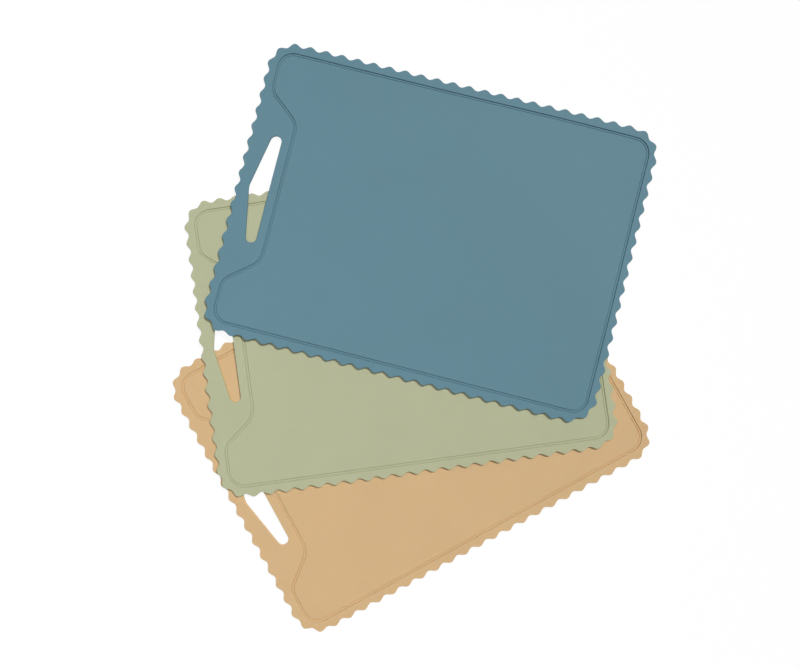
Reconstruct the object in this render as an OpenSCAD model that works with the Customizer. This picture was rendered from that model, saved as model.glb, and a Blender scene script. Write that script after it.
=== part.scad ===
// Three silicone cutting boards of one moulding, fanned out in a loose stack.
// Each board is a single flat sheet with an unbroken wavy rim, a juice groove
// that swings in behind the handle, and a low triangular finger slot.

/* [Board] */
// Length of a board, over the crests of its wavy rim
board_length = 400; // [340:1:500]
// Width of a board, over the crests of its wavy rim
board_width = 300; // [280:1:400]
// Thickness of the silicone
board_thickness = 3; // [2:0.1:8]
// Radius of a corner, along the middle line of the wave
corner_radius = 26; // [20:1:34]

/* [Wavy rim] */
// Wanted distance from crest to crest, rounded so that whole waves go round
wave_pitch = 16.4; // [10:0.1:30]
// Height of the wave, from valley to crest
wave_height = 3.4; // [1:0.1:5]
// Distance of the first crest from its corner's diagonal, along the rim
crest_offset = 1.1; // [-4:0.1:4]

/* [Juice groove] */
// Width of the groove across its mouth
groove_width = 3; // [2:0.1:5]
// Depth of the groove below the cutting face
groove_depth = 1.2; // [0.4:0.1:1.5]
// Distance from the crests to the middle of the groove, on the two long sides
groove_side_inset = 11.2; // [8:0.1:14]
// Distance from the crests to the middle of the groove, at the plain end
groove_end_inset = 10; // [8:0.1:14]
// Distance from the crests to the middle of the groove, at the handle end
groove_handle_inset = 11.7; // [8:0.1:14]
// Radius of the groove's middle line at the four corners
groove_corner_radius = 15; // [8:0.1:22]

/* [Handle bay] */
// Distance from the crests to the middle of the groove behind the handle
bay_depth = 44.2; // [40:0.1:60]
// Length of the bay behind the handle, between its inner bends
bay_floor_length = 142.5; // [130:0.5:160]
// Length of the bay where the groove leaves the rim, between its outer bends
bay_mouth_length = 195; // [180:0.5:210]
// Radius of the middle line at the bay's outer bends
bay_outer_radius = 15; // [8:0.1:20]
// Radius of the middle line at the bay's inner bends
bay_inner_radius = 21; // [8:0.1:28]

/* [Finger slot] */
// Distance from the crests of the rim to the slot's straight inner side
slot_inset = 34; // [30:0.1:36]
// Length of the slot from end to end
slot_length = 110; // [80:1:120]
// Width of the slot at its middle
slot_width = 20.6; // [16:0.1:24]
// Radius of the slot's two ends
slot_end_radius = 5.8; // [3:0.1:7]
// Radius of the slot's outward point, at its middle
slot_point_radius = 10; // [4:0.1:18]

/* [Fan] */
// Thin layer of air that matt silicone keeps between two boards
air_gap = 0.1; // [0.05:0.05:0.5]
// Turn of the peach board, at the bottom of the stack, in degrees
peach_turn = 29; // [0:0.1:60]
// Turn of the green board, in the middle of the stack, in degrees
green_turn = 8; // [-20:0.1:30]
// Turn of the blue board, at the top of the stack, in degrees
blue_turn = -14.3; // [-40:0.1:10]
// Middle of the green board, to the right of the peach board's middle
green_shift_x = -10.3; // [-40:0.1:40]
// Middle of the green board, up the page from the peach board's middle
green_shift_y = 88.2; // [40:0.1:110]
// Middle of the blue board, to the right of the peach board's middle
blue_shift_x = 20.9; // [-40:0.1:60]
// Middle of the blue board, up the page from the peach board's middle
blue_shift_y = 180.1; // [120:0.1:200]

/* [Hidden] */

peach_color = "#d7b488";
green_color = "#b7ba99";
blue_color = "#66899a";

// Points along one wave: an even number, so that crests and valleys are both met
points_per_wave = 10;
// Largest turn between two points of a rounded bend
bend_step = 9;
// How far a cut runs past the face that it starts from
overrun = 1;

// The wave swings to both sides of a middle line with rounded corners
half_wave = wave_height / 2;
middle_half_length = board_length / 2 - half_wave;
middle_half_width = board_width / 2 - half_wave;
corner_x = middle_half_length - corner_radius;
corner_y = middle_half_width - corner_radius;
corner_arc = corner_radius * PI / 2;

// The middle line is four quarters, each from one corner's diagonal to the next,
// going anticlockwise from the corner above the handle
QUARTER_TURN = 90;
FIRST_DIAGONAL = 135;
corner_centres = [
    [-corner_x, corner_y],
    [-corner_x, -corner_y],
    [corner_x, -corner_y],
    [corner_x, corner_y]
];
quarter_straights = [2 * corner_y, 2 * corner_x, 2 * corner_y, 2 * corner_x];
rim_length = 2 * quarter_straights[0] + 2 * quarter_straights[1] + 4 * corner_arc;

// Half the rim holds a whole number of waves, so each board looks the same
// after half a turn
wave_count = 2 * round(rim_length / (2 * wave_pitch));
rim_points = wave_count * points_per_wave;

function along(angle, distance) = distance * [cos(angle), sin(angle)];

// Point of the middle line and its outward direction, at a way along one quarter
function quarter_place(q, way) =
    let (
        start = FIRST_DIAGONAL + q * QUARTER_TURN,
        side = start + QUARTER_TURN / 2,
        straight = quarter_straights[q],
        straight_way = way - corner_arc / 2,
        end_way = straight_way - straight,
        centre = corner_centres[q],
        next_centre = corner_centres[(q + 1) % 4],
        first_angle = start + way / corner_radius * 180 / PI,
        last_angle = side + end_way / corner_radius * 180 / PI
    )
    straight_way < 0
        ? [centre + along(first_angle, corner_radius), first_angle]
        : end_way < 0
            ? [centre + along(side, corner_radius) + along(side + QUARTER_TURN, straight_way), side]
            : [next_centre + along(last_angle, corner_radius), last_angle];

function rim_place(way, q = 0) =
    let (quarter = corner_arc + quarter_straights[q])
    way < quarter || q == 3 ? quarter_place(q, way) : rim_place(way - quarter, q + 1);

// The wavy outline of a board
function rim_outline() = [
    for (i = [0 : rim_points - 1])
        let (
            way = (crest_offset + rim_length * i / rim_points + rim_length) % rim_length,
            place = rim_place(way),
            swing = half_wave * cos(360 * i / points_per_wave)
        )
        place[0] + along(place[1], swing)
];

// A closed line that runs round a row of rollers, each [x, y, radius].
// A roller on the left of the line has a positive radius and one on its right
// a negative radius, so the line bends round it the other way.
function heading(a, b) =
    let (across = b[0] - a[0], up = b[1] - a[1])
    atan2(up, across) - asin((b[2] - a[2]) / norm([across, up]));

function turn_left(from, to) = ((to - from) % 360 + 360) % 360;

function belt(rollers) =
    let (count = len(rollers))
    [
        for (i = [0 : count - 1])
            let (
                roller = rollers[i],
                before = rollers[(i + count - 1) % count],
                after = rollers[(i + 1) % count],
                from = heading(before, roller),
                to = heading(roller, after),
                turn = roller[2] > 0 ? turn_left(from, to) : -turn_left(to, from),
                steps = max(1, ceil(abs(turn) / bend_step))
            )
            for (k = [0 : steps])
                [roller[0], roller[1]] + along(from + turn * k / steps - QUARTER_TURN, roller[2])
    ];

// Rollers of the groove's middle line, moved outwards by a given amount
groove_y = board_width / 2 - groove_side_inset;
groove_end_x = board_length / 2 - groove_end_inset;
groove_handle_x = board_length / 2 - groove_handle_inset;
bay_x = board_length / 2 - bay_depth;

// A bend's roller lies off its corner point by the bend's radius and its turn
bay_slope = atan2((bay_mouth_length - bay_floor_length) / 2, bay_depth - groove_handle_inset);
bay_turn = QUARTER_TURN - bay_slope;
outer_bend_y = bay_mouth_length / 2 + bay_outer_radius * tan(bay_turn / 2);
inner_bend_y = bay_floor_length / 2 - bay_inner_radius * tan(bay_turn / 2);

function groove_line(out) =
    let (
        handle_corner_x = groove_handle_x - groove_corner_radius,
        end_corner_x = groove_end_x - groove_corner_radius,
        corner_y = groove_y - groove_corner_radius,
        corner_r = groove_corner_radius + out,
        outer_r = bay_outer_radius + out,
        inner_r = bay_inner_radius - out,
        outer_x = groove_handle_x - bay_outer_radius,
        inner_x = bay_x + bay_inner_radius
    )
    belt([
        [-handle_corner_x, corner_y, corner_r],
        [-outer_x, outer_bend_y, outer_r],
        [-inner_x, inner_bend_y, -inner_r],
        [-inner_x, -inner_bend_y, -inner_r],
        [-outer_x, -outer_bend_y, outer_r],
        [-handle_corner_x, -corner_y, corner_r],
        [end_corner_x, -corner_y, corner_r],
        [end_corner_x, corner_y, corner_r]
    ]);

// The finger slot: a straight inner side, two round ends and a blunt point
slot_wall_x = slot_inset - board_length / 2;

function slot_outline() =
    let (
        end_x = slot_wall_x - slot_end_radius,
        end_y = slot_length / 2 - slot_end_radius,
        point_x = slot_wall_x - slot_width + slot_point_radius
    )
    belt([
        [end_x, end_y, slot_end_radius],
        [point_x, 0, slot_point_radius],
        [end_x, -end_y, slot_end_radius]
    ]);

// One board, with its middle over the origin and its handle to the left
module board() {
    difference() {
        linear_extrude(height = board_thickness)
            difference() {
                polygon(rim_outline());
                polygon(slot_outline());
            }
        translate([0, 0, board_thickness - groove_depth])
            linear_extrude(height = groove_depth + overrun)
                difference() {
                    polygon(groove_line(groove_width / 2));
                    polygon(groove_line(-groove_width / 2));
                }
    }
}

// The stack stands with the middle of its outline over the origin
function turned(points, angle, shift) = [
    for (p = points)
        [
            p[0] * cos(angle) - p[1] * sin(angle) + shift[0],
            p[0] * sin(angle) + p[1] * cos(angle) + shift[1]
        ]
];

green_shift = [green_shift_x, green_shift_y];
blue_shift = [blue_shift_x, blue_shift_y];
one_outline = rim_outline();
fan_outline = concat(
    turned(one_outline, peach_turn, [0, 0]),
    turned(one_outline, green_turn, green_shift),
    turned(one_outline, blue_turn, blue_shift)
);
fan_x = [for (p = fan_outline) p[0]];
fan_y = [for (p = fan_outline) p[1]];
fan_middle = [(min(fan_x) + max(fan_x)) / 2, (min(fan_y) + max(fan_y)) / 2];

// A board in its layer of the stack, flat over the one beneath
layer_height = board_thickness + air_gap;

module laid_board(layer, angle, shift) {
    translate([shift[0] - fan_middle[0], shift[1] - fan_middle[1], layer * layer_height])
        rotate([0, 0, angle])
            board();
}

module peach_board() {
    color(peach_color) laid_board(0, peach_turn, [0, 0]);
}

module green_board() {
    color(green_color) laid_board(1, green_turn, green_shift);
}

module blue_board() {
    color(blue_color) laid_board(2, blue_turn, blue_shift);
}

peach_board();
green_board();
blue_board();
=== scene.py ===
# %% [markdown]
# # A fan of silicone cutting boards
# Three thin boards of one moulding, in blue, green and peach, lie fanned out in
# a loose stack. Each is a single sheet of silicone, so the whole character is in
# four things: the wavy rim, the soft juice groove, the finger slot, and the way a
# limp sheet settles over the one beneath it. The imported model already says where
# each board lies, so it is loaded first and nothing here moves it.

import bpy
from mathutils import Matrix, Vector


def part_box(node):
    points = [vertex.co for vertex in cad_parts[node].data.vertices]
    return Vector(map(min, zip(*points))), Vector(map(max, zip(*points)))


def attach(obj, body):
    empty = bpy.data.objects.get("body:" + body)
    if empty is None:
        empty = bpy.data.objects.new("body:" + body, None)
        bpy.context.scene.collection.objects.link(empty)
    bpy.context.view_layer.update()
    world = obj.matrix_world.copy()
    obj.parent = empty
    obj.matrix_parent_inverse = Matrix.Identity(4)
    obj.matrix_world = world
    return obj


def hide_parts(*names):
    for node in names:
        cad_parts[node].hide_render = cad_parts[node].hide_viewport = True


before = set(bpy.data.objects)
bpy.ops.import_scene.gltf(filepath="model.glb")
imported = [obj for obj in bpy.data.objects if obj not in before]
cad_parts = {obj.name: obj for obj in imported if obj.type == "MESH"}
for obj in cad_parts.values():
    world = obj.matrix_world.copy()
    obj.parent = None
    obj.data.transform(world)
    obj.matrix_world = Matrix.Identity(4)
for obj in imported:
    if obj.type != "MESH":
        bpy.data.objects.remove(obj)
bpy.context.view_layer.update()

# %% [markdown]
# ## The sizes of one board
# A drawing starts from a few driving dimensions. These are the ones of the real
# board, written in millimetres and turned into metres by one factor, because
# Blender's unit is the metre. The thickness isn't written again: it is read from
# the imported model, whose lowest board is exactly one sheet high.

# %% Driving dimensions
import math

import bpy
from mathutils import Matrix, Vector

MM = 0.001
BOARD_LENGTH = 400 * MM
BOARD_WIDTH = 300 * MM
CORNER_RADIUS = 26 * MM
WAVE_COUNT = 82
WAVE_HEIGHT = 3.4 * MM
CREST_OFFSET = 1.1 * MM
sheet_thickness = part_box("peach_board")[1].z
print(f"one sheet is {sheet_thickness / MM:.2f} mm thick")

# %% [markdown]
# ## The wavy rim
# The rim is a cosine wave that rides on a rectangle with round corners. Drawing
# 82 waves by hand would never close up evenly, so the wave is worked out: a way
# along the middle line gives a point and the direction that faces outwards there,
# and the wave then swings the point out and in along that direction. The middle
# line is cut into four equal turns, each from one corner's diagonal to the next.

# %% The middle line of the wave
HALF_WAVE = WAVE_HEIGHT / 2
QUARTER_TURN = math.pi / 2
FIRST_DIAGONAL = 1.5 * QUARTER_TURN
corner_x = BOARD_LENGTH / 2 - HALF_WAVE - CORNER_RADIUS
corner_y = BOARD_WIDTH / 2 - HALF_WAVE - CORNER_RADIUS
corner_arc = CORNER_RADIUS * QUARTER_TURN
corner_centres = [
    (-corner_x, corner_y),
    (-corner_x, -corner_y),
    (corner_x, -corner_y),
    (corner_x, corner_y),
]
straights = [2 * corner_y, 2 * corner_x, 2 * corner_y, 2 * corner_x]
rim_length = sum(straights) + 4 * corner_arc
wave_pitch = rim_length / WAVE_COUNT
print(f"the rim's middle line is {rim_length / MM:.1f} mm long, {wave_pitch / MM:.2f} mm a wave")


def along(angle, distance):
    return Vector((math.cos(angle), math.sin(angle), 0)) * distance


def rim_place(way):
    """The point at a way along the middle line, and the angle that faces outwards there."""
    quarter = 0
    while way >= corner_arc + straights[quarter] and quarter < 3:
        way -= corner_arc + straights[quarter]
        quarter += 1
    diagonal = FIRST_DIAGONAL + quarter * QUARTER_TURN
    side = diagonal + QUARTER_TURN / 2
    straight_way = way - corner_arc / 2
    end_way = straight_way - straights[quarter]
    centre = Vector((*corner_centres[quarter], 0))
    if straight_way < 0:
        angle = diagonal + way / CORNER_RADIUS
        return centre + along(angle, CORNER_RADIUS), angle
    if end_way < 0:
        return centre + along(side, CORNER_RADIUS) + along(side + QUARTER_TURN, straight_way), side
    angle = side + end_way / CORNER_RADIUS
    next_centre = Vector((*corner_centres[(quarter + 1) % 4], 0))
    return next_centre + along(angle, CORNER_RADIUS), angle


# %% [markdown]
# The swing is a cosine along the middle line. Sixteen points a wave keep the crests
# round in a close look, and as 82 is a whole number the last wave meets the first
# without a seam.

# %% The wave on the middle line
POINTS_PER_WAVE = 16


def rim_line():
    count = WAVE_COUNT * POINTS_PER_WAVE
    points = []
    for i in range(count):
        place, outward = rim_place((CREST_OFFSET + rim_length * i / count) % rim_length)
        swing = HALF_WAVE * math.cos(2 * math.pi * i / POINTS_PER_WAVE)
        points.append(place + along(outward, swing))
    return points


print("points on the rim:", len(rim_line()))

# %% [markdown]
# ## Lines that run round rollers
# The finger slot and the juice groove are made of straight runs and round bends.
# A belt round a row of rollers gives just that, with every run tangent to the
# bends at its ends. A roller on the belt's right side has a negative radius, and
# the belt bends round it the other way, as the groove does where it swings in
# behind the slot.

# %% A belt round rollers
BEND_STEP = math.radians(5)


def heading(a, b):
    """The direction of the straight run from one roller to the next."""
    across, up = b[0] - a[0], b[1] - a[1]
    return math.atan2(up, across) - math.asin((b[2] - a[2]) / math.hypot(across, up))


def belt(rollers):
    """A closed line round rollers, each (x, y, radius)."""
    full = 2 * math.pi
    points = []
    for i, roller in enumerate(rollers):
        start = heading(rollers[i - 1], roller)
        end = heading(roller, rollers[(i + 1) % len(rollers)])
        turn = (end - start) % full if roller[2] > 0 else -((start - end) % full)
        steps = max(1, math.ceil(abs(turn) / BEND_STEP))
        for k in range(steps + 1):
            angle = start + turn * k / steps - QUARTER_TURN
            points.append(Vector((roller[0], roller[1], 0)) + along(angle, roller[2]))
    return points


# %% [markdown]
# ## The finger slot
# The slot is a low triangle: a straight side towards the middle of the board, two
# round ends, and a blunt point towards the rim, where the fingers are widest. Three
# rollers are enough for it.

# %% The line of the finger slot
SLOT_INSET = 34 * MM
SLOT_LENGTH = 110 * MM
SLOT_WIDTH = 20.6 * MM
SLOT_END_RADIUS = 5.8 * MM
SLOT_POINT_RADIUS = 10 * MM


def slot_line():
    wall_x = SLOT_INSET - BOARD_LENGTH / 2
    end_x = wall_x - SLOT_END_RADIUS
    end_y = SLOT_LENGTH / 2 - SLOT_END_RADIUS
    point_x = wall_x - SLOT_WIDTH + SLOT_POINT_RADIUS
    return belt([
        (end_x, end_y, SLOT_END_RADIUS),
        (point_x, 0, SLOT_POINT_RADIUS),
        (end_x, -end_y, SLOT_END_RADIUS),
    ])


print("points on the slot:", len(slot_line()))

# %% [markdown]
# ## The way of the juice groove
# The groove keeps close to the rim on three sides. At the handle it turns in, runs
# behind the slot and turns out again, so that juice stays off the fingers. Its four
# corners and the four bends of that bay make eight rollers.

# %% The line of the juice groove
GROOVE_SIDE_INSET = 11.2 * MM
GROOVE_END_INSET = 10 * MM
GROOVE_HANDLE_INSET = 11.7 * MM
GROOVE_CORNER_RADIUS = 15 * MM
BAY_DEPTH = 44.2 * MM
BAY_FLOOR_LENGTH = 142.5 * MM
BAY_MOUTH_LENGTH = 195 * MM
BAY_OUTER_RADIUS = 15 * MM
BAY_INNER_RADIUS = 21 * MM


def groove_line():
    """The middle of the groove: four corners, and the bay of four bends behind the slot."""
    handle_x = BOARD_LENGTH / 2 - GROOVE_HANDLE_INSET
    slope = math.atan2((BAY_MOUTH_LENGTH - BAY_FLOOR_LENGTH) / 2, BAY_DEPTH - GROOVE_HANDLE_INSET)
    half_turn = (QUARTER_TURN - slope) / 2
    outer_y = BAY_MOUTH_LENGTH / 2 + BAY_OUTER_RADIUS * math.tan(half_turn)
    inner_y = BAY_FLOOR_LENGTH / 2 - BAY_INNER_RADIUS * math.tan(half_turn)
    outer_x = handle_x - BAY_OUTER_RADIUS
    inner_x = BOARD_LENGTH / 2 - BAY_DEPTH + BAY_INNER_RADIUS
    near_x = handle_x - GROOVE_CORNER_RADIUS
    far_x = BOARD_LENGTH / 2 - GROOVE_END_INSET - GROOVE_CORNER_RADIUS
    side_y = BOARD_WIDTH / 2 - GROOVE_SIDE_INSET - GROOVE_CORNER_RADIUS
    return belt([
        (-near_x, side_y, GROOVE_CORNER_RADIUS),
        (-outer_x, outer_y, BAY_OUTER_RADIUS),
        (-inner_x, inner_y, -BAY_INNER_RADIUS),
        (-inner_x, -inner_y, -BAY_INNER_RADIUS),
        (-outer_x, -outer_y, BAY_OUTER_RADIUS),
        (-near_x, -side_y, GROOVE_CORNER_RADIUS),
        (far_x, -side_y, GROOVE_CORNER_RADIUS),
        (far_x, side_y, GROOVE_CORNER_RADIUS),
    ])


print("points on the groove's middle line:", len(groove_line()))

# %% [markdown]
# ## From a line to a sheet
# A circle primitive is a ring of points with one face in it, so it is the natural
# start for any closed outline: it gets as many points as the outline has, and
# each point is put in its place. Extruding that face upwards by the thickness
# makes the sheet. The same two steps make the tool that cuts the slot.

# %% A ring of points, and a plate from it


def use_only(piece):
    """Select one object alone and make it the active one."""
    bpy.ops.object.select_all(action="DESELECT")
    piece.select_set(True)
    bpy.context.view_layer.objects.active = piece


def ring(name, points, fill="NGON"):
    bpy.ops.object.select_all(action="DESELECT")
    bpy.ops.mesh.primitive_circle_add(
        vertices=len(points), radius=BOARD_LENGTH / 2, fill_type=fill
    )
    piece = bpy.context.object
    piece.name = name
    for vertex, place in zip(piece.data.vertices, points):
        vertex.co = place
    return piece


def plate(name, points, low, high):
    """A flat plate with this outline, from one height to another."""
    piece = ring(name, points)
    bpy.ops.object.mode_set(mode="EDIT")
    bpy.ops.mesh.select_all(action="SELECT")
    bpy.ops.transform.translate(value=(0, 0, low))
    bpy.ops.mesh.extrude_region_move(TRANSFORM_OT_translate={"value": (0, 0, high - low)})
    bpy.ops.mesh.select_all(action="SELECT")
    bpy.ops.mesh.normals_make_consistent(inside=False)
    bpy.ops.object.mode_set(mode="OBJECT")
    return piece


def cut_away(piece, tool):
    """Cut the tool's shape out of the piece and throw the tool away."""
    cut = piece.modifiers.new("cut", "BOOLEAN")
    cut.operation = "DIFFERENCE"
    cut.solver = "EXACT"
    cut.object = tool
    use_only(piece)
    bpy.ops.object.modifier_apply(modifier=cut.name)
    bpy.data.objects.remove(tool)


# %% [markdown]
# ## The sheet and its slot
# The slot goes right through, so its tool is a plate that stands out of the sheet
# above and below, and a Boolean modifier subtracts it. Joining the slot's points
# into the big faces by hand would give the same sheet with far more steps.

# %% The sheet with its slot
CUT_OVERRUN = 1 * MM

sheet = plate("sheet", rim_line(), 0, sheet_thickness)
slot_tool = plate("slot_tool", slot_line(), -CUT_OVERRUN, sheet_thickness + CUT_OVERRUN)
cut_away(sheet, slot_tool)
print("sheet with slot:", len(sheet.data.vertices), "vertices,", len(sheet.data.polygons), "faces")

# %% [markdown]
# ## Moulded edges
# Silicone comes out of its mould with no sharp edge anywhere. Every edge of the
# sheet that is sharp now, round the rim and round the slot, above and below, gets
# the same small radius, so they are picked by their angle and bevelled at once.

# %% Round the edges
EDGE_RADIUS = 0.4 * MM
EDGE_STEPS = 4
SHARP_TURN = math.radians(60)

use_only(sheet)
bpy.ops.object.mode_set(mode="EDIT")
bpy.ops.mesh.select_mode(type="EDGE")
bpy.ops.mesh.select_all(action="DESELECT")
bpy.ops.mesh.edges_select_sharp(sharpness=SHARP_TURN)
bpy.ops.mesh.bevel(
    offset=EDGE_RADIUS, segments=EDGE_STEPS, profile=0.5, affect="EDGES", clamp_overlap=False
)
bpy.ops.object.mode_set(mode="OBJECT")
print("with round edges:", len(sheet.data.vertices), "vertices")

# %% [markdown]
# ## The section of the groove
# Seen close up, the groove is two fine channels side by side with a raised floor
# between them, so it shows as a double line from every side. Half of its section is
# written as shares of the half width and of the depth, from outside the lip to the
# floor, and the other half mirrors it. A lid above the face closes the section, as
# the bar made from it has to be a solid.

# %% The cross-section of the groove
GROOVE_WIDTH = 3 * MM
GROOVE_DEPTH = 1.15 * MM
FLOOR_SHARE = 0.46
section_shares = [
    (1.2, 0.05), (1.05, 0.0), (0.99, -0.07), (0.95, -0.3), (0.91, -0.7), (0.86, -0.93),
    (0.76, -1.0), (0.62, -0.96), (0.54, -0.8), (0.47, -0.6), (0.38, -0.5),
]


def groove_section():
    half = GROOVE_WIDTH / 2
    right = [Vector((x * half, y * GROOVE_DEPTH, 0)) for x, y in section_shares]
    left = [Vector((-point.x, point.y, 0)) for point in reversed(right)]
    floor = [Vector((0, -FLOOR_SHARE * GROOVE_DEPTH, 0))]
    lid = [Vector((-right[0].x, GROOVE_DEPTH, 0)), Vector((right[0].x, GROOVE_DEPTH, 0))]
    return right + floor + left + lid


print("points on the section:", len(groove_section()))

# %% [markdown]
# ## Sweeping the groove
# A groove that keeps one section all the way round is a sweep. The middle line
# becomes a curve and the section its bevel object, and Blender keeps the section
# square to the line in every bend. As a mesh, the bar's first and last rings lie on
# each other, so doubles are merged before the bar is cut out of the sheet.

# %% Sweep the groove's bar and cut it out
MERGE_DISTANCE = 0.001 * MM


def closed_curve(name, points):
    piece = ring(name, points, fill="NOTHING")
    bpy.ops.object.convert(target="CURVE")
    piece = bpy.context.object
    piece.data.dimensions = "2D"
    return piece


section = closed_curve("groove_section", groove_section())
bar = closed_curve("groove_bar", groove_line())
bar.data.bevel_mode = "OBJECT"
bar.data.bevel_object = section
use_only(bar)
bpy.ops.object.convert(target="MESH")
bar = bpy.context.object
bpy.ops.object.mode_set(mode="EDIT")
bpy.ops.mesh.select_all(action="SELECT")
bpy.ops.mesh.remove_doubles(threshold=MERGE_DISTANCE)
bpy.ops.mesh.normals_make_consistent(inside=False)
bpy.ops.transform.translate(value=(0, 0, sheet_thickness))
bpy.ops.object.mode_set(mode="OBJECT")
bar_bottom = min(vertex.co.z for vertex in bar.data.vertices)
print(f"the bar reaches down to {bar_bottom / MM:.2f} mm above the table")
cut_away(sheet, bar)
bpy.data.objects.remove(section)
print("with groove:", len(sheet.data.vertices), "vertices,", len(sheet.data.polygons), "faces")

# %% [markdown]
# ## Room to bend
# The big flat faces are single polygons, and a polygon can't bend. Straight cuts
# across the whole sheet, a few millimetres apart, give it points to bend at. They
# leave the shape just as it is.

# %% Cut the sheet into small cells
CELL = 8 * MM

use_only(sheet)
bpy.ops.object.mode_set(mode="EDIT")
bpy.ops.mesh.select_mode(type="VERT")
for size, normal in ((BOARD_LENGTH, Vector((1, 0, 0))), (BOARD_WIDTH, Vector((0, 1, 0)))):
    cuts = round(size / CELL)
    for i in range(1, cuts):
        bpy.ops.mesh.select_all(action="SELECT")
        bpy.ops.mesh.bisect(plane_co=normal * size * (i / cuts - 0.5), plane_no=normal)
bpy.ops.object.mode_set(mode="OBJECT")
print("cut into cells:", len(sheet.data.vertices), "vertices,", len(sheet.data.polygons), "faces")

# %% [markdown]
# ## Laying the boards
# Each board is a copy of the sheet with its own mesh, turned and put where the
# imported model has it. The outline looks the same after half a turn, so the middle
# of a node's box is the middle of its board, and only the turn has to be named.

# %% Turn and place three copies
TURNS = {"peach": 29.0, "green": 8.0, "blue": -14.3}
COLOURS = list(TURNS)
boxes = {colour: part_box(f"{colour}_board") for colour in COLOURS}
middles = {colour: (low + high) / 2 for colour, (low, high) in boxes.items()}
bottoms = {colour: low.z for colour, (low, high) in boxes.items()}


def lay(colour):
    board = bpy.data.objects.new(f"{colour}_silicone_board", sheet.data.copy())
    bpy.context.scene.collection.objects.link(board)
    place = Matrix.Translation((middles[colour].x, middles[colour].y, bottoms[colour]))
    board.data.transform(place @ Matrix.Rotation(math.radians(TURNS[colour]), 4, "Z"))
    return board


boards = {colour: lay(colour) for colour in COLOURS}
bpy.data.objects.remove(sheet)
for colour in COLOURS:
    print(colour, "middle at", [round(c / MM, 1) for c in middles[colour]], "mm")

# %% [markdown]
# ## How a limp sheet settles
# A sheet of soft silicone lies flat on the one beneath and, past its edge, sinks to
# the table within a hand's breadth. So each point has a rest height: on the board
# beneath it is one sheet up, and outside it eases back to the table with the
# distance from that board's outline. The top board may be held up by either of the
# two beneath, and it follows the higher one, with a soft blend where they meet. Its
# free corner below the handle has kept a little curl, which throws the widest shadow.

# %% The rest height of each board
SETTLE_LENGTH = 95 * MM
BLEND = 1.2 * MM
CURL_HEIGHT = 1.6 * MM
CURL_REACH = 120 * MM
BACK_TURNS = {
    colour: Matrix.Rotation(-math.radians(turn), 2) for colour, turn in TURNS.items()
}
layer_height = bottoms["green"]


def outside(point, colour):
    """How far a point lies outside a board's outline, seen from above."""
    local = BACK_TURNS[colour] @ (point - middles[colour]).xy
    past_x = max(abs(local.x) - corner_x, 0)
    past_y = max(abs(local.y) - corner_y, 0)
    return max(math.hypot(past_x, past_y) - CORNER_RADIUS - HALF_WAVE, 0)


def ease(share):
    """Goes from 0 to 1 with a soft start and a soft end."""
    return share * share * (3 - 2 * share)


def held(point, colour, height):
    """What is left of a height at a point that one board holds up."""
    share = min(outside(point, colour) / SETTLE_LENGTH, 1)
    return height * (1 - ease(share))


def curl(point):
    """How far the blue board's free corner, below its handle, stands off the board beneath."""
    local = BACK_TURNS["blue"] @ (point - middles["blue"]).xy
    away = math.hypot(local.x + BOARD_LENGTH / 2, local.y + BOARD_WIDTH / 2)
    return CURL_HEIGHT * ease(max(1 - away / CURL_REACH, 0))


def rest_height(point, colour):
    if colour == "peach":
        return 0
    on_peach = held(point, "peach", layer_height)
    if colour == "green":
        return on_peach
    on_green = held(point, "green", on_peach + layer_height)
    blend = BLEND * max(on_green, on_peach) / bottoms["blue"]
    return (on_green + on_peach + math.hypot(on_green - on_peach, blend)) / 2 + curl(point)


for colour, board in boards.items():
    for vertex in board.data.vertices:
        vertex.co.z += rest_height(vertex.co, colour) - bottoms[colour]
    heights = [vertex.co.z / MM for vertex in board.data.vertices]
    print(f"{colour} lies from {min(heights):.2f} to {max(heights):.2f} mm")

# %% [markdown]
# ## Smooth shading
# The round edges and the groove are smooth, while the flat face must stay flat up
# to where they start. Shading by angle keeps the few hard turns, and a Weighted
# Normal modifier lets the large flat faces decide the normals that they share with
# the narrow strips beside them.

# %% Shade the boards
HARD_TURN = math.radians(40)

for board in boards.values():
    use_only(board)
    bpy.ops.object.shade_smooth_by_angle(angle=HARD_TURN)
    weigh = board.modifiers.new("weigh", "WEIGHTED_NORMAL")
    weigh.keep_sharp = True
    bpy.ops.object.modifier_apply(modifier=weigh.name)
    print(board.name, sum(len(p.vertices) - 2 for p in board.data.polygons), "triangles")

# %% [markdown]
# ## Silicone
# Moulded silicone is matt and even, but never perfectly so: the pigment drifts a
# little over a few centimetres, the mould leaves a very fine grain, and the soft
# surface holds specks of dust. Each effect is a node group, built once and placed
# in each board's material. Two helpers keep the groups short to write.

# %% Helpers for node groups
COLOUR = "NodeSocketColor"
FLOAT = "NodeSocketFloat"
VECTOR = "NodeSocketVector"


def new_group(name, inputs, outputs):
    """An empty shader node group with named sockets, and its two end nodes."""
    group = bpy.data.node_groups.new(name, "ShaderNodeTree")
    for label, kind in inputs:
        group.interface.new_socket(name=label, in_out="INPUT", socket_type=kind)
    for label, kind in outputs:
        group.interface.new_socket(name=label, in_out="OUTPUT", socket_type=kind)
    return group, group.nodes.new("NodeGroupInput"), group.nodes.new("NodeGroupOutput")


def math_node(tree, operation, first, second):
    """A Math node whose two inputs are sockets or plain numbers."""
    node = tree.nodes.new("ShaderNodeMath")
    node.operation = operation
    for socket, value in zip(node.inputs, (first, second)):
        if isinstance(value, bpy.types.NodeSocket):
            tree.links.new(value, socket)
        else:
            socket.default_value = value
    return node.outputs[0]


print("sockets:", COLOUR, FLOAT, VECTOR)

# %% [markdown]
# ### Pigment that drifts
# Pigment is kneaded into raw silicone and is never spread quite evenly. A soft noise
# lightens and darkens the colour by a few per cent. The same noise is given out as a
# value as well, so that the roughness can drift with it.

# %% Pigment that drifts
DRIFT_DETAIL = 3
DRIFT_ROUGHNESS = 0.6


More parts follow.
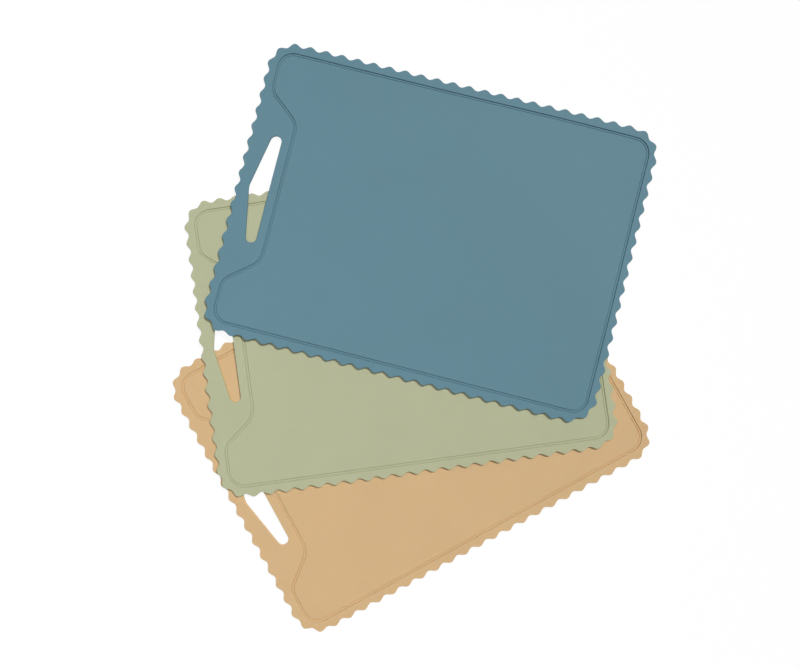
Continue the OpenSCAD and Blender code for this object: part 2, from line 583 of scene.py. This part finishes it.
def make_drift():
    group, given, result = new_group(
        "pigment_drift",
        [("Vector", VECTOR), ("Pigment", COLOUR), ("Scale", FLOAT), ("Amount", FLOAT)],
        [("Color", COLOUR), ("Drift", FLOAT)],
    )
    noise = group.nodes.new("ShaderNodeTexNoise")
    noise.inputs["Detail"].default_value = DRIFT_DETAIL
    noise.inputs["Roughness"].default_value = DRIFT_ROUGHNESS
    group.links.new(given.outputs["Vector"], noise.inputs["Vector"])
    group.links.new(given.outputs["Scale"], noise.inputs["Scale"])
    centred = math_node(group, "SUBTRACT", noise.outputs["Fac"], 0.5)
    drift = math_node(group, "MULTIPLY", centred, given.outputs["Amount"])
    shift = group.nodes.new("ShaderNodeHueSaturation")
    group.links.new(math_node(group, "ADD", drift, 1), shift.inputs["Value"])
    group.links.new(given.outputs["Pigment"], shift.inputs["Color"])
    group.links.new(shift.outputs["Color"], result.inputs["Color"])
    group.links.new(noise.outputs["Fac"], result.inputs["Drift"])
    return group


drift_group = make_drift()
print("node group:", drift_group.name)

# %% [markdown]
# ### The grain of the mould
# A metal mould leaves its own faint texture on the silicone, under a millimetre
# from grain to grain. That is too fine to model, so the group puts out a height for
# a Bump node.

# %% Fine grain of the mould
GRAIN_DETAIL = 2


def make_grain():
    group, given, result = new_group(
        "mould_grain",
        [("Vector", VECTOR), ("Scale", FLOAT)],
        [("Height", FLOAT)],
    )
    noise = group.nodes.new("ShaderNodeTexNoise")
    noise.inputs["Detail"].default_value = GRAIN_DETAIL
    group.links.new(given.outputs["Vector"], noise.inputs["Vector"])
    group.links.new(given.outputs["Scale"], noise.inputs["Scale"])
    group.links.new(noise.outputs["Fac"], result.inputs["Height"])
    return group


grain_group = make_grain()
print("node group:", grain_group.name)

# %% [markdown]
# ### Specks of dust
# Silicone draws dust. A Voronoi pattern splits the surface into cells, a small round
# spot in each could be a speck, and the random colour of a cell picks the few that
# keep theirs.

# %% Specks of dust


def make_dust():
    group, given, result = new_group(
        "dust_specks",
        [("Vector", VECTOR), ("Scale", FLOAT), ("Size", FLOAT), ("Share", FLOAT)],
        [("Mask", FLOAT)],
    )
    cells = group.nodes.new("ShaderNodeTexVoronoi")
    group.links.new(given.outputs["Vector"], cells.inputs["Vector"])
    group.links.new(given.outputs["Scale"], cells.inputs["Scale"])
    near = math_node(group, "LESS_THAN", cells.outputs["Distance"], given.outputs["Size"])
    pick = group.nodes.new("ShaderNodeSeparateColor")
    group.links.new(cells.outputs["Color"], pick.inputs["Color"])
    chosen = math_node(group, "LESS_THAN", pick.outputs[0], given.outputs["Share"])
    group.links.new(math_node(group, "MULTIPLY", near, chosen), result.inputs["Mask"])
    return group


dust_group = make_dust()
print("node group:", dust_group.name)

# %% [markdown]
# ## One material for each colour
# The pigments are the colours that the boards show in plain light. Light also goes
# a little way into silicone before it comes out again, further in a pale pigment
# than in a dark one, and that softens small edges: it is called subsurface
# scattering. The shader's own constants are set on the shader itself.

# %% Build the silicone materials
PIGMENTS = {
    "peach": (0.64, 0.443, 0.237),
    "green": (0.449, 0.465, 0.301),
    "blue": (0.112, 0.225, 0.28),
}
DUST_TINT = (0.75, 0.78, 0.78)
SCATTER = {"peach": 0.5, "green": 0.35, "blue": 0.1}
SCATTER_LENGTH = 1.2 * MM
SPECULAR_LEVEL = 0.25
ROUGHNESS_LOW = 0.6
ROUGHNESS_SWING = 0.14
DUST_COVER = 0.35
GRAIN_STRENGTH = 0.12
GRAIN_HEIGHT = 0.1 * MM
# Scales are in cells a metre
DRIFT = {"Scale": 14, "Amount": 0.1}
GRAIN = {"Scale": 1400}
DUST = {"Scale": 90, "Size": 0.022, "Share": 0.35}


def placed_group(tree, group, vector, settings):
    node = tree.nodes.new("ShaderNodeGroup")
    node.node_tree = group
    tree.links.new(vector, node.inputs["Vector"])
    for name, value in settings.items():
        node.inputs[name].default_value = value
    return node


def silicone(colour):
    material = bpy.data.materials.new(f"{colour}_silicone")
    material.use_nodes = True
    tree = material.node_tree
    nodes, links = tree.nodes, tree.links
    shader = nodes["Principled BSDF"]
    shader.inputs["Specular IOR Level"].default_value = SPECULAR_LEVEL
    shader.inputs["Subsurface Weight"].default_value = SCATTER[colour]
    shader.inputs["Subsurface Scale"].default_value = SCATTER_LENGTH
    shader.inputs["Subsurface Radius"].default_value = PIGMENTS[colour]
    place = nodes.new("ShaderNodeTexCoord").outputs["Object"]
    drift = placed_group(tree, drift_group, place, {"Pigment": (*PIGMENTS[colour], 1), **DRIFT})
    grain = placed_group(tree, grain_group, place, GRAIN)
    dust = placed_group(tree, dust_group, place, DUST)
    dusty = nodes.new("ShaderNodeMix")
    dusty.data_type = "RGBA"
    for socket in dusty.inputs:
        if socket.name == "A" and socket.type == "RGBA":
            links.new(drift.outputs["Color"], socket)
        if socket.name == "B" and socket.type == "RGBA":
            socket.default_value = (*DUST_TINT, 1)
    cover = math_node(tree, "MULTIPLY", dust.outputs["Mask"], DUST_COVER)
    links.new(cover, dusty.inputs["Factor"])
    links.new([s for s in dusty.outputs if s.type == "RGBA"][0], shader.inputs["Base Color"])
    swing = math_node(tree, "MULTIPLY", drift.outputs["Drift"], ROUGHNESS_SWING)
    links.new(math_node(tree, "ADD", swing, ROUGHNESS_LOW), shader.inputs["Roughness"])
    bump = nodes.new("ShaderNodeBump")
    bump.inputs["Strength"].default_value = GRAIN_STRENGTH
    bump.inputs["Distance"].default_value = GRAIN_HEIGHT
    links.new(grain.outputs["Height"], bump.inputs["Height"])
    links.new(bump.outputs["Normal"], shader.inputs["Normal"])
    return material


for colour, board in boards.items():
    board.data.materials.append(silicone(colour))
    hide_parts(f"{colour}_board")
    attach(board, f"{colour}_board")
    print(board.name, "is made of", board.data.materials[0].name)

# %% [markdown]
# ## The table
# The boards lie on a plain white table. It is lit as the boards are, so that it
# keeps their shadow, but what the camera sees of it is mostly its own even white.

# %% A white table
TABLE_SIZE = 12
TABLE_GLOW_SHARE = 0.92

bpy.ops.object.select_all(action="DESELECT")
bpy.ops.mesh.primitive_plane_add(size=TABLE_SIZE)
table = bpy.context.object
table.name = "table"


def seen_mask(tree):
    """1 where a ray comes from the camera, a reflection or glass, 0 where it lights something."""
    path = tree.nodes.new("ShaderNodeLightPath")
    shown = math_node(tree, "MAXIMUM", path.outputs["Is Camera Ray"], path.outputs["Is Glossy Ray"])
    return math_node(tree, "MAXIMUM", shown, path.outputs["Is Transmission Ray"])


def white_table():
    material = bpy.data.materials.new("white_table")
    material.use_nodes = True
    tree = material.node_tree
    shader = tree.nodes["Principled BSDF"]
    shader.inputs["Base Color"].default_value = (1, 1, 1, 1)
    shader.inputs["Roughness"].default_value = 1
    shader.inputs["Specular IOR Level"].default_value = 0
    glow = tree.nodes.new("ShaderNodeEmission")
    blend = tree.nodes.new("ShaderNodeMixShader")
    glow_share = math_node(tree, "MULTIPLY", seen_mask(tree), TABLE_GLOW_SHARE)
    tree.links.new(glow_share, blend.inputs["Fac"])
    tree.links.new(shader.outputs["BSDF"], blend.inputs[1])
    tree.links.new(glow.outputs["Emission"], blend.inputs[2])
    tree.links.new(blend.outputs["Shader"], tree.nodes["Material Output"].inputs["Surface"])
    return material


table.data.materials.append(white_table())
print("the table is", TABLE_SIZE, "m wide")

# %% [markdown]
# ## Light
# A sun, the key lamp, stands high at the far right. It is small in the sky, so each
# board drops a thin dark line on the board beneath along its near and left edges. A
# round lamp on the left softens the other side, and the brightness falls off gently
# to the right with it. The world fills in the rest and shows white to the camera.

# %% World, round lamp and key lamp
FILL = 0.135
OVERHEAD_POWER = 2.8
OVERHEAD_SIZE = 1.2
OVERHEAD_PLACE = (-0.35, -0.1, 0.85)
KEY = 2.5
KEY_SPREAD = math.radians(5)
KEY_TILT = math.radians(35)
KEY_SIDE = math.radians(-46)

world = bpy.data.worlds.new("studio")
bpy.context.scene.world = world
world.use_nodes = True
sky = world.node_tree.nodes["Background"]
sky.inputs["Color"].default_value = (1, 1, 1, 1)
strength = math_node(world.node_tree, "MAXIMUM", seen_mask(world.node_tree), FILL)
world.node_tree.links.new(strength, sky.inputs["Strength"])

bpy.ops.object.light_add(type="AREA", location=OVERHEAD_PLACE)
overhead = bpy.context.object
overhead.name = "overhead"
overhead.data.shape = "DISK"
overhead.data.size = OVERHEAD_SIZE
overhead.data.energy = OVERHEAD_POWER

bpy.ops.object.light_add(type="SUN", location=(0, 0, 1), rotation=(-KEY_TILT, 0, KEY_SIDE))
key = bpy.context.object
key.name = "key"
key.data.energy = KEY
key.data.angle = KEY_SPREAD
print(f"lamps: {overhead.name} {overhead.data.energy:.2f} W, {key.name} {key.data.energy:.2f} W/m2")

# %% [markdown]
# ## The camera
# The photograph looks almost straight down from about three quarters of a metre.
# The distance, the small tilt and the point that the camera looks at were fitted
# to the boards' outlines, in real sizes.

# %% Place the camera
CAMERA_DISTANCE = 753.4 * MM
CAMERA_TILT = math.radians(1.4)
CAMERA_SIDE = math.radians(66.2)
LOOK_FROM_PEACH = Vector((-9.34 * MM, 78.45 * MM, 0))
SENSOR = 36
IMAGE_WIDTH = 800
FOCAL_PIXELS = 754.1

bpy.ops.object.camera_add()
camera = bpy.context.object
camera.data.sensor_width = SENSOR
camera.data.lens = SENSOR * FOCAL_PIXELS / IMAGE_WIDTH
lean = math.sin(CAMERA_TILT)
back = Vector((
    lean * math.sin(CAMERA_SIDE), -lean * math.cos(CAMERA_SIDE), math.cos(CAMERA_TILT)
))
right = Vector((0, 1, 0)).cross(back).normalized()
up = back.cross(right)
look_at = Vector((middles["peach"].x, middles["peach"].y, 0)) + LOOK_FROM_PEACH
turn = Matrix((right, up, back)).transposed().to_4x4()
camera.matrix_world = Matrix.Translation(look_at + back * CAMERA_DISTANCE) @ turn
bpy.context.scene.camera = camera
print("camera at", [round(c, 3) for c in camera.matrix_world.translation])

# %% [markdown]
# ## Finish
# The colours are shown as they are, with the Standard view.

# %% View
bpy.context.scene.view_settings.view_transform = "Standard"
